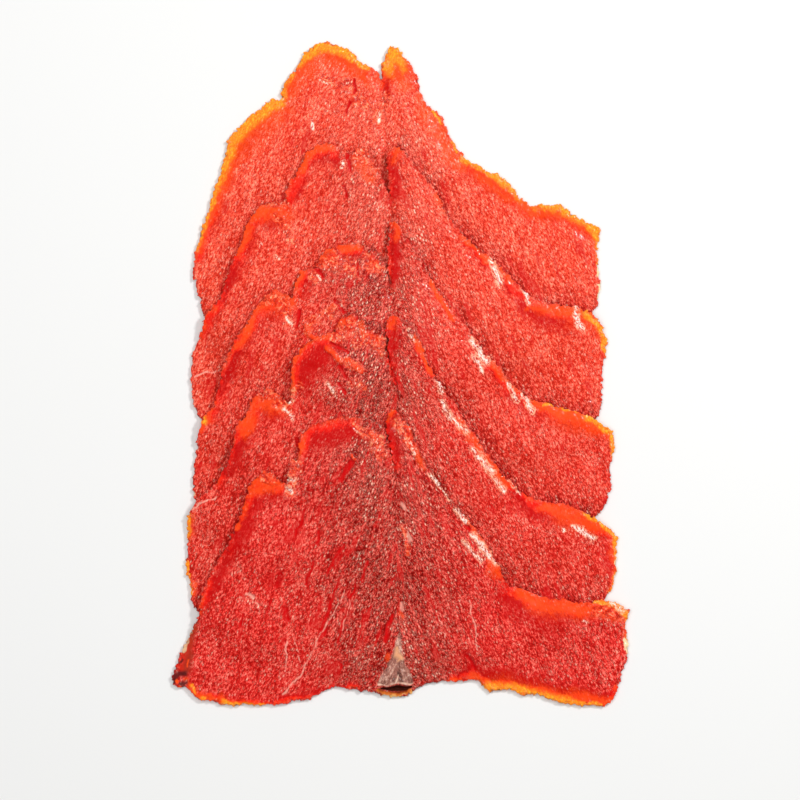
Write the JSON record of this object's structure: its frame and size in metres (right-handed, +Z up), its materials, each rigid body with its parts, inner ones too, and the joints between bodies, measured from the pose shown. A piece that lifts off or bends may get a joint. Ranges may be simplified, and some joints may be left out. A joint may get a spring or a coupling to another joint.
{
  "type": "cold-smoked sockeye salmon",
  "caption": "Thin slices of cold-smoked sockeye salmon, shingled so that they keep the shape of the fillet, with a split along the lateral line.",
  "frame": {"origin": "centre of the footprint, on the surface that the slices lie on", "axes": "+Z up, +Y towards the narrow tail end where the first slice lies lowest, +X across the fillet towards the long right-hand side"},
  "size_m": [0.1372, 0.1996, 0.0119],
  "materials": {
    "smoked_flesh": "moist smoked fish, deep red and fine-grained, with glossy wet patches and orange rims"
  },
  "bodies": {
    "root": {"slice_1": "smoked_flesh", "slice_2": "smoked_flesh", "slice_3": "smoked_flesh", "slice_4": "smoked_flesh", "slice_5": "smoked_flesh"}
  },
  "joints": []
}
